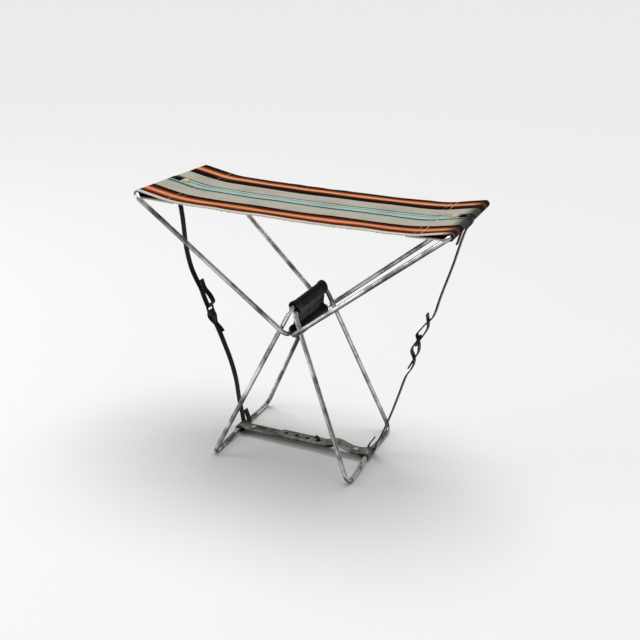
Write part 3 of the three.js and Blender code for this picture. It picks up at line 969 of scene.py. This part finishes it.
@dataclass
class LeatherGrip:
    """One hide wrapped round all four pivot bars and pinched together between them."""

    bottom: Pair = (0.0, 180.2)       # round tube, for the two seat frames
    lower: Pair = (1.4, 209.0)        # leaning oval tube, for the two leg frames
    upper: Pair = (-1.4, 215.0)
    thickness: float = 2.1
    bottom_radius: float = 8.1        # to the middle of the hide
    top_radius: float = 4.65
    web_half: float = 1.35
    half_length: float = 46.5
    far_extra: float = 2.5
    flare: float = 5.5                # the top spreads over the bends at the near end
    mouth: float = 1.3                # the top tube opens by this much at its ends
    around_spacing: float = 1.1
    along_steps: int = 40
    soft_edge: float = 0.35
    stitch_height: float = 196.5
    stitch_inset: float = 4.0         # from each end of the hide

    def section(self) -> list[Vector]:
        """Returns the closed line through the middle of the hide.

        Returns:
            A closed path in X and Z.
        """
        meet = math.acos(self.web_half / self.bottom_radius)
        lean = math.atan2(self.upper[1] - self.lower[1], self.upper[0] - self.lower[0])
        left = lean + math.pi / 2
        right = lean - math.pi / 2
        left_meet = -math.acos((-self.web_half - self.lower[0]) / self.top_radius)
        right_meet = -math.acos((self.web_half - self.lower[0]) / self.top_radius)
        sharp = [
            *arc(self.bottom, self.bottom_radius, meet, meet - 2 * math.pi + (math.pi - 2 * meet), 40),
            *arc(self.lower, self.top_radius, left_meet, left - 2 * math.pi, 12),
            *arc(self.upper, self.top_radius, left, right, 24),
            *arc(self.lower, self.top_radius, right, right_meet, 14),
        ]
        line = evenly(sharp, self.around_spacing, True)
        for _ in range(2):
            line = [(line[i - 1] + p * 2 + line[(i + 1) % len(line)]) / 4 for i, p in enumerate(line)]
        return line

    def hide(self) -> bpy.types.Object:
        """Builds the hide, worked soft and opened at the top tube's mouths.

        Returns:
            The finished hide, in two finishes.
        """
        line = self.section()
        middle = Vector((0.0, 0.0, (self.lower[1] + self.upper[1]) / 2))
        points = []
        for place in line:
            top = ease((place.z - self.lower[1] + 4) / 10)
            outward = (place - middle).normalized()
            for i in range(self.along_steps + 1):
                share = 2 * i / self.along_steps - 1
                reach = self.flare * top if share < 0 else self.far_extra
                stretch = 1 + reach / self.half_length * ease(abs(share))
                worked = noise.noise(Vector((place.x / 9, share * 4, place.z / 9)))
                y = share * self.half_length * stretch + 0.8 * worked * abs(share)
                swell = 1 + 0.03 * worked * (1 - abs(share))
                opened = outward * self.mouth * top * ease((abs(share) - 0.7) / 0.3)
                points.append(Vector((place.x * swell, y, place.z)) + opened)
        faces = grid_faces(len(line), self.along_steps + 1, True)
        flat = new_piece("grip hide", points, faces, BlackLeather(), CutLeatherEdge())
        wall = flat.modifiers.new("hide", "SOLIDIFY")
        wall.thickness = self.thickness * MM
        wall.offset = 0.0
        wall.material_offset_rim = 1
        soft = flat.modifiers.new("soft edge", "BEVEL")
        soft.width = self.soft_edge * MM
        soft.segments = 2
        soft.limit_method = "ANGLE"
        soft.angle_limit = math.radians(50)
        made = plain(flat, "leather_grip")
        made.data.set_sharp_from_angle(angle=math.radians(60))
        return made

    def build(self, threads: ThreadTree) -> None:
        """Builds the hide and its two rows of stitches.

        Args:
            threads: The tree that lays threads.
        """
        made = self.hide()
        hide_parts("grip_sleeve")
        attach(made, "grip")
        for name, side in (("grip_stitches_left", -1), ("grip_stitches_right", 1)):
            x = side * (self.web_half + self.thickness / 2 + 0.05)
            ends = (self.stitch_inset - self.half_length, self.half_length - self.stitch_inset)
            stitches = threads.along(name, [Vector((x, y, self.stitch_height)) * MM for y in ends], False,
                                     spacing=4.2 * MM, length=3.0 * MM, thickness=0.8 * MM, stray=0.05,
                                     turn=0.0, seed=11, material=WAXED_THREAD.material())
            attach(stitches, "grip")
        log.info("grip: %d faces", len(made.data.polygons))


@dataclass
class SeatCanvas:
    """The striped seat: one length of canvas with a pocket sewn round each end bar."""

    uv_name = "cloth"
    bar: Pair = END_BAR
    half_width: float = 93.0           # at the end bars
    waist: float = 2.0                 # each edge draws in by this much in the middle
    thickness: float = 1.0
    pocket_radius: float = 4.325       # to the middle of the cloth
    seam_x: float = 154.0
    seam_top: float = 338.75
    seam_gap: float = 1.15             # from the top layer's middle to the hem's
    hem_end: float = 149.0
    sag: float = 1.8
    opening_half: float = 8.5          # each opening bares the bar for a strap
    opening_x: float = 187.0
    column_spacing: float = 3.0
    row_spacing: float = 4.0
    soft_passes: int = 14              # eases the bend where each pocket is sewn
    slack_reach: float = 40.0          # the cloth comes taut over this much before each bar
    wave: float = 0.75                 # slack waves, and their length along and across
    wave_length: Pair = (46.0, 30.0)
    curl: float = 0.7                  # the edges roll down by about this
    curl_length: float = 22.0
    pucker: float = 0.32               # gathers between the stitches of each seam
    pucker_spacing: float = 8.4
    blend_reach: float = 190.0
    stitch_rows: tuple[float, ...] = (-160.0, -152.0, 157.0, 165.0)

    def touch(self, point: Vector, side: int) -> float:
        """Returns the angle on the bar where a straight layer from point meets the pocket's curve.

        Args:
            point: Where the layer starts.
            side: 1 for the upper layer and -1 for the lower.

        Returns:
            The angle, in radians.
        """
        reach = Vector((self.bar[0], self.bar[1])) - Vector((point.x, point.z))
        angle = math.atan2(reach.y, reach.x) + side * math.asin(self.pocket_radius / reach.length)
        return angle + side * math.pi / 2

    def half_route(self) -> list[Vector]:
        """Returns the right half of the cloth's line, from the middle over the bar to the hem's end.

        Returns:
            A path in X and Z.
        """
        top = Vector((self.seam_x, 0.0, self.seam_top))
        under = Vector((self.seam_x, 0.0, self.seam_top - self.seam_gap))
        over, below = self.touch(top, 1), self.touch(under, -1)
        rows = round(self.seam_x / self.row_spacing)
        middle = [Vector((self.seam_x * i / rows, 0.0, self.seam_top - self.sag * (1 - (i / rows) ** 2)))
                  for i in range(rows)]
        round_bar = arc(self.bar, self.pocket_radius, over, below, 14)
        upper = [*middle, *self.run(top, round_bar[0])]
        for _ in range(self.soft_passes):
            heights = [p.z for p in upper]
            for i in range(1, len(upper) - 3):
                upper[i].z = (heights[i - 1] + 2 * heights[i] + heights[i + 1]) / 4
        return [*upper, *round_bar[1:-1],
                *reversed(self.run(under, round_bar[-1])), Vector((self.hem_end, 0.0, under.z))]

    def run(self, seam: Vector, at_bar: Vector) -> list[Vector]:
        """Returns a straight layer from the seam to the bar, with a row at the opening's edge.

        Args:
            seam: Where the layer is sewn.
            at_bar: Where it meets the pocket.

        Returns:
            The layer's rows, from the seam to the bar.
        """
        share = (self.opening_x - seam.x) / (at_bar.x - seam.x)
        edge = seam.lerp(at_bar, share)
        inner = [seam.lerp(edge, i / 8) for i in range(8)]
        return [*inner, edge, edge.lerp(at_bar, 0.5), at_bar]

    def columns(self) -> list[float]:
        """Returns the cloth's Y stations at an end bar, from the front to the rear.

        Returns:
            The stations, which meet the openings' edges.
        """
        wide = self.half_width - self.opening_half
        count = round(wide / self.column_spacing)
        side = [self.opening_half + wide * i / count for i in range(count + 1)]
        inner = [self.opening_half * i / 3 for i in (-2, -1, 0, 1, 2)]
        return [-y for y in reversed(side)] + inner + side

    def surface(self, place: Vector, y: float) -> Vector:
        """Returns where a point of the cloth hangs.

        Args:
            place: Its point on the cloth's line.
            y: Its place across the cloth at an end bar.

        Returns:
            The hung point.
        """
        slack = ease((self.bar[0] - 16 - abs(place.x)) / self.slack_reach)
        middle = ease(1 - abs(place.x) / self.bar[0])
        drawn = y * (1 - self.waist / self.half_width * ease(middle * 1.6))
        edge = (abs(y) / self.half_width) ** 8
        wave = noise.noise(Vector((place.x / self.wave_length[0], y / self.wave_length[1], 3.7)))
        uneven = noise.noise(Vector((place.x / self.curl_length, 9.1, math.copysign(2, y))))
        curl = -self.curl * edge * slack * (1 + 0.8 * uneven)
        near_seam = math.exp(-((abs(place.x) - self.seam_x - 5) / 9) ** 2)
        gather = math.sin(y * 2 * math.pi / self.pucker_spacing + 1.7 * wave)
        lift = slack * self.wave * wave + curl + self.pucker * near_seam * gather
        return Vector((place.x, drawn, place.z + lift))

    def cloth(self) -> bpy.types.Object:
        """Builds the cloth with its openings, its coordinates and its thickness.

        Returns:
            The finished cloth.
        """
        half = self.half_route()
        line = [Vector((-p.x, 0.0, p.z)) for p in reversed(half[1:])] + half
        columns = self.columns()
        points = [self.surface(place, y) for place in line for y in columns]
        along = [0.0]
        for a, b in zip(line, line[1:]):
            along.append(along[-1] + (b - a).length)
        opened = []
        for quad in grid_faces(len(line), len(columns)):
            centre = sum((points[i] for i in quad), Vector()) / 4
            if abs(centre.x) < self.opening_x or abs(centre.y) > self.opening_half:
                opened.append(quad)
        made = new_piece("canvas", points, opened, StripedCanvas())
        layer = made.data.uv_layers.new(name=self.uv_name)
        count = len(columns)
        scale = StripedCanvas.width_mm / (2 * self.half_width)
        for corner in made.data.loops:
            row, column = divmod(corner.vertex_index, count)
            across = (self.half_width - columns[column]) * scale
            layer.data[corner.index].uv = (along[row] * MM, across * MM)
        wall = made.modifiers.new("cloth", "SOLIDIFY")
        wall.thickness = self.thickness * MM
        wall.offset = 0.0
        return plain(made, "striped_seat_canvas")

    def join(self, piece: bpy.types.Object) -> None:
        """Bakes a piece of the seat's transform into its mesh.

        Args:
            piece: The piece.
        """
        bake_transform(piece)

    def row(self, x: float) -> list[Vector]:
        """Returns a line across the cloth, just above it, in metres.

        Args:
            x: The line's place along the seat.

        Returns:
            Points across the cloth.
        """
        top = Vector((abs(x), 0.0, self.seam_top))
        if abs(x) > self.seam_x:
            bar = arc(self.bar, self.pocket_radius, self.touch(top, 1), 0.0, 1)[0]
            top = top + (bar - top) * ((abs(x) - self.seam_x) / (bar.x - self.seam_x))
        else:
            top.z -= self.sag * (1 - (x / self.seam_x) ** 2)
        top.x = x
        lift = Vector((0.0, 0.0, self.thickness / 2 + 0.1))
        return [(self.surface(top, y) + lift) * MM for y in self.columns() if abs(y) < self.half_width - 1]

    def build(self, threads: ThreadTree) -> None:
        """Builds the cloth, its stitching, its loose selvedge threads and its patches.

        Args:
            threads: The tree that lays threads.
        """
        cloth = self.cloth()
        half = self.half_route()
        self.join(cloth)
        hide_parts("seat_canvas")
        for number, x in enumerate(self.stitch_rows):
            stitches = threads.along(f"seam_stitches_{number + 1}", self.row(x), False,
                                     spacing=5.2 * MM, length=4.0 * MM, thickness=1.15 * MM, stray=0.12,
                                     turn=0.0, seed=number, material=NATURAL_THREAD.material())
            self.join(stitches)
        count = round(self.seam_x / self.row_spacing)
        edge = [Vector((-p.x, 0.0, p.z)) for p in reversed(half[1:count])] + half[:count]
        front = [(self.surface(p, -self.half_width) + Vector((0.0, -0.2, 0.0))) * MM for p in edge]
        fringe = threads.along("front_selvedge_threads", front, False, spacing=1.4 * MM, length=4.2 * MM,
                               thickness=0.6 * MM, stray=0.9, turn=0.4, seed=5,
                               material=NATURAL_THREAD.material())
        self.join(fringe)
        for node in ("left_opening_patch", "right_opening_patch"):
            patch = SoftenedNode(node, BuffPatchCloth(), ease_mm=0.25).build()
            self.join(patch)
        log.info("seat canvas: %d faces", len(cloth.data.polygons))


def smooth_line(points: Sequence[Vector], spans: int) -> list[Vector]:
    """Returns a centripetal Catmull-Rom curve through the points.

    Args:
        points: The points it passes through.
        spans: Steps between each point and the next.

    Returns:
        The curve's points, the last one included.
    """
    ends = [points[0] * 2 - points[1], *points, points[-1] * 2 - points[-2]]
    made = []
    for p0, p1, p2, p3 in zip(ends, ends[1:], ends[2:], ends[3:]):
        d0, d1, d2 = (max((b - a).length, 1e-6) ** 0.5 for a, b in ((p0, p1), (p1, p2), (p2, p3)))
        m1 = ((p1 - p0) / d0 - (p2 - p0) / (d0 + d1) + (p2 - p1) / d1) * d1
        m2 = ((p2 - p1) / d1 - (p3 - p1) / (d1 + d2) + (p3 - p2) / d2) * d1
        for step in range(spans):
            t = step / spans
            made.append(p1 * (2 * t**3 - 3 * t**2 + 1) + m1 * (t**3 - 2 * t**2 + t)
                        + p2 * (3 * t**2 - 2 * t**3) + m2 * (t**3 - t**2))
    return [*made, points[-1]]


def wrap(centre: Pair, radius: float, start: float, end: float) -> list[Pair]:
    """Returns points every 45 degrees or less round a bar, between two angles in degrees.

    Args:
        centre: X and Z of the bar.
        radius: Distance from the bar's centre.
        start: First angle.
        end: Last angle, which may be the smaller.

    Returns:
        The points, as X and Z.
    """
    steps = math.ceil(abs(end - start) / 45)
    angles = (math.radians(start + (end - start) * i / steps) for i in range(steps + 1))
    return [(centre[0] + radius * math.cos(a), centre[1] + radius * math.sin(a)) for a in angles]


@dataclass
class LeatherStrap:
    """One strap, cut from flat hide: it loops a bar at one end and a link at the other.

    The route is listed as X and Z. Each strap's end passes through a slit in the strap, so the
    loop round the link stands open like a lens.
    """

    node: str
    body: str
    route: list[Pair]
    width: float = 10.0
    thickness: float = 1.8
    eased: float = 0.35
    foot_y: float = 0.0        # a lower strap leans to the rear, to clear the strip's eye
    lean_top: float = 150.0
    lean_bottom: float = 20.0
    spans: int = 5

    def section(self) -> list[Pair]:
        """Returns the cut across the strap, as across and through, with its corners eased.

        Returns:
            Eight corners in order.
        """
        half, deep, cut = self.width / 2, self.thickness / 2, self.eased
        return [(-half, cut - deep), (cut - half, -deep), (half - cut, -deep), (half, cut - deep),
                (half, deep - cut), (half - cut, deep), (cut - half, deep), (-half, deep - cut)]

    def build(self) -> None:
        """Sweeps the section along the route."""
        line = smooth_line([Vector((x, 0.0, z)) for x, z in self.route], self.spans)
        section = self.section()
        points = []
        for i, place in enumerate(line):
            along = (line[min(i + 1, len(line) - 1)] - line[max(i - 1, 0)]).normalized()
            through = Vector((-along.z, 0.0, along.x))
            lean = (self.lean_top - place.z) / (self.lean_top - self.lean_bottom)
            y = self.foot_y * min(1.0, max(0.0, lean)) + 0.25 * noise.noise(place / 14)
            points += [place + through * deep + Vector((0.0, y + across, 0.0)) for across, deep in section]
        count = len(section)
        faces = []
        for here in range(0, (len(line) - 1) * count, count):
            above = here + count
            faces += [(here + c, here + (c + 1) % count, above + (c + 1) % count, above + c)
                      for c in range(count)]
        faces += [tuple(reversed(range(count))), tuple(range((len(line) - 1) * count, len(line) * count))]
        made = new_piece(self.node + "_hide", points, faces, BlackLeather(), CutLeatherEdge())
        shape = bmesh.new()
        shape.from_mesh(made.data)
        bmesh.ops.recalc_face_normals(shape, faces=shape.faces)
        for face in shape.faces:
            face.material_index = int(abs(face.normal.y) > 0.6 or len(face.verts) == count)
        shape.to_mesh(made.data)
        shape.free()
        made.data.set_sharp_from_angle(angle=math.radians(40))
        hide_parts(self.node)
        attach(made, self.body)
        log.info("%s: %d faces", made.name, len(made.data.polygons))


@dataclass
class SideStraps:
    """The leather straps down each side of the stool, and the bent-wire links between them."""

    end_wrap: float = 4.425                    # from a bar's centre to the middle of the hide
    left_links: tuple[Pair, Pair] = ((-146.8, 177.0), (-143.6, 167.2))
    right_links: tuple[Pair, Pair] = ((151.6, 184.0), (149.0, 173.4))
    link_wrap: float = 2.75
    left_foot: Pair = (-91.95, 6.5)
    right_foot: Pair = (94.95, 6.43)
    foot_wrap: float = 4.875
    lower_strap_y: float = 10.5

    def straps(self) -> list[LeatherStrap]:
        """Returns the four straps.

        Returns:
            Upper left, upper right, lower left and lower right.
        """
        left_bar = (-END_BAR[0], END_BAR[1])
        left_upper = [
            (-186.2, 312.0), (-191.0, 327.0), *wrap(left_bar, self.end_wrap, -15, 180),
            (-203.0, 338.0), (-196.5, 331.0), (-190.6, 312.0), (-186.5, 290.0), (-181.5, 252.0),
            (-172.5, 222.0), (-163.6, 206.0), (-158.8, 197.5), (-154.6, 187.0),
            *wrap(self.left_links[0], self.link_wrap, 190, 350),
            (-140.6, 182.0), (-145.6, 191.0), (-153.6, 199.5), (-159.0, 211.5)]
        right_upper = [
            (188.3, 311.0), (192.2, 327.0), *wrap(END_BAR, self.end_wrap, 195, 0),
            (203.0, 338.0), (197.8, 331.0), (191.9, 310.0), (186.3, 286.0), (173.9, 241.0),
            (168.9, 219.5), (165.6, 211.5), (159.8, 205.0), (152.4, 194.5), (148.0, 187.5),
            *wrap(self.right_links[0], self.link_wrap, 190, 350),
            (157.6, 189.5), (161.2, 198.0), (161.0, 206.0), (159.0, 216.5)]
        left_lower = [
            (-125.8, 141.0), (-131.0, 147.0), (-137.6, 152.6), (-145.6, 160.0),
            *wrap(self.left_links[1], self.link_wrap, 170, 10),
            (-138.2, 162.5), (-136.6, 153.5), (-131.4, 141.5), (-123.9, 123.0), (-115.2, 100.0),
            (-108.0, 73.5), (-102.8, 38.0), (-98.6, 17.0),
            *wrap(self.left_foot, self.foot_wrap, 170, 370), (-89.2, 14.0), (-93.8, 26.0)]
        right_lower = [
            (140.4, 139.0), (144.0, 147.0), (147.6, 154.5), (151.8, 163.5),
            *wrap(self.right_links[1], self.link_wrap, 10, 170),
            (142.8, 164.5), (146.6, 155.0), (147.0, 147.0), (143.8, 137.5), (138.0, 127.5),
            (130.0, 100.0), (120.5, 67.6), (109.6, 35.0), (102.0, 16.0),
            *wrap(self.right_foot, self.foot_wrap, 10, -190), (92.3, 14.0), (98.0, 24.0)]
        lean = self.lower_strap_y
        return [LeatherStrap("left_upper_strap", "left_upper", left_upper),
                LeatherStrap("right_upper_strap", "right_upper", right_upper),
                LeatherStrap("left_lower_strap", "left_lower", left_lower, foot_y=lean),
                LeatherStrap("right_lower_strap", "right_lower", right_lower, foot_y=lean)]

    def build(self) -> None:
        """Builds the straps and links of both sides."""
        for strap in self.straps():
            strap.build()
        for side in ("left", "right"):
            link = SoftenedNode(f"{side}_strap_link", BlackenedSteel(), 0.0, 60.0).build()
            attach(link, f"{side}_upper")


@dataclass
class Spreader:
    """The two steel strips that keep the feet apart, their rivets and the hook."""

    sides: tuple[str, ...] = ("left", "right")

    def build(self) -> None:
        """Builds the strips, rivets and hook."""
        for side in self.sides:
            strip_finish = DULL_STRIP if side == "left" else ZincPlatedStrip()
            for part, finish in (("spreader_strip", strip_finish), ("spreader_rivet", BRIGHT_RIVET)):
                made = SoftenedNode(f"{side}_{part}", finish).build()
                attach(made, f"{side}_strip")
        hook = SoftenedNode("spreader_hook", BlackenedSteel(), ease_mm=0.25).build()
        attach(hook, "left_strip")
        log.info("spreader built")


# ---------------------------------------------------------------- camera, floor and light


@dataclass
class Studio:
    """Camera, floor and soft light."""

    lens: float = 54.96
    sensor: float = 36.0
    place: tuple[float, float, float] = (0.4368, -1.1267, 0.6269)
    yaw: float = -20.48
    pitch: float = 20.26
    roll: float = 2.63
    floor_half: float = 60.0
    middle: tuple[float, float, float] = (0.0, 0.0, 0.17)
    ceiling_spread: float = 50.0
    ceiling_lean: float = -14.0
    ceiling_strength: float = 2.1
    window_place: tuple[float, float, float] = (-1.9, -0.7, 1.0)
    window_size: float = 0.9
    window_power: float = 9.0
    sky_strength: float = 0.28   # as a light
    sky_seen: float = 0.84       # as the camera sees it beyond the floor

    def camera(self) -> None:
        """Stands the camera where its three angles say."""
        yaw, pitch, roll = (math.radians(a) for a in (self.yaw, self.pitch, self.roll))
        ahead = Vector((math.sin(yaw) * math.cos(pitch), math.cos(yaw) * math.cos(pitch), -math.sin(pitch)))
        right = Vector((math.cos(yaw), -math.sin(yaw), 0.0))
        up = right.cross(ahead)
        tilt = Matrix.Rotation(-roll, 3, ahead)
        right, up = tilt @ right, tilt @ up
        lens = bpy.data.cameras.new("camera")
        lens.lens = self.lens
        lens.sensor_width = self.sensor
        turn = Matrix((right, up, -ahead)).transposed().to_4x4()
        made = show("camera", lens)
        made.matrix_world = Matrix.Translation(self.place) @ turn
        bpy.context.scene.camera = made

    def floor(self) -> None:
        """Lays the floor just under the feet."""
        reach = self.floor_half / MM
        corners = [Vector((x * reach, y * reach, -0.05)) for x, y in ((-1, -1), (1, -1), (1, 1), (-1, 1))]
        new_piece("floor", corners, [(0, 1, 2, 3)], StudioPaper())

    def light(self, name: str, kind: str, power: float, turn: Matrix,
              place: tuple[float, float, float], **shape: float) -> None:
        """Hangs one light.

        Args:
            name: Name of the light.
            kind: Its type name.
            power: Its power in watts, or a sun's strength.
            turn: Its rotation; a light shines down its own -Z.
            place: Where it hangs, in metres.
            shape: Its size or spread.
        """
        data = bpy.data.lights.new(name, kind)
        data.energy = power
        for key, value in shape.items():
            setattr(data, key, value)
        show(name, data).matrix_world = Matrix.Translation(place) @ turn.to_4x4()

    def lights(self) -> None:
        """Lights the whole floor evenly, as a broad white ceiling does, and adds a window."""
        lean = Matrix.Rotation(math.radians(self.ceiling_lean), 3, "X")
        self.light("ceiling", "SUN", self.ceiling_strength, lean, (0.0, 0.0, 0.0),
                   angle=math.radians(self.ceiling_spread))
        look = Vector(self.middle) - Vector(self.window_place)
        self.light("window", "AREA", self.window_power, look.to_track_quat("-Z", "Y").to_matrix(),
                   self.window_place, size=self.window_size)

    def sky(self) -> None:
        """Puts white all round, dimmer as a light than as the camera sees it."""
        world = bpy.data.worlds.new("studio")
        world.use_nodes = True
        tree = world.node_tree
        seen = add(tree, "ShaderNodeLightPath").outputs["Is Camera Ray"]
        strength = spread(tree, seen, (0.0, self.sky_strength), (1.0, self.sky_seen))
        feed(tree, tree.nodes["Background"], {"Color": linear("FFFFFF"), "Strength": strength})
        bpy.context.scene.world = world

    def build(self) -> None:
        """Sets up camera, floor, lights and sky."""
        self.camera()
        self.floor()
        self.lights()
        self.sky()
        bpy.context.scene.view_settings.view_transform = "Standard"


def wire_frames() -> list[WireFrame]:
    """Returns the four bent rods.

    Returns:
        The seat frames, then the leg frames.
    """
    seat = {"pivot_half": 66.0, "far_half": 98.2, "pivot_bend": 11.0, "far_bend": 8.0}
    leg = {"pivot_half": 55.5, "far_half": 87.7, "pivot_bend": 11.0, "far_bend": 11.0, "bow": 4.0}
    floor_z = WireFrame.radius
    return [
        WireFrame("left_seat_frame", "left_seat", (-3.4, 180.2), (-END_BAR[0], END_BAR[1]), **seat),
        WireFrame("right_seat_frame", "right_seat", (3.4, 180.2), END_BAR, **seat),
        WireFrame("left_leg_frame", "left_leg", (-1.4, 215.0), (-93.5, floor_z), **leg),
        WireFrame("right_leg_frame", "right_leg", (1.4, 209.0), (96.5, floor_z), **leg),
    ]


def main() -> None:
    """Builds the whole scene."""
    logging.basicConfig(level=logging.INFO, format="%(name)s: %(message)s")
    Studio().build()
    rods, threads = RodTree("drawn rod"), ThreadTree("threads")
    for rod in wire_frames():
        rod.build(rods, GalvanisedWire())
    LeatherGrip().build(threads)
    SeatCanvas().build(threads)
    SideStraps().build()
    Spreader().build()


if __name__ == "__main__":
    main()
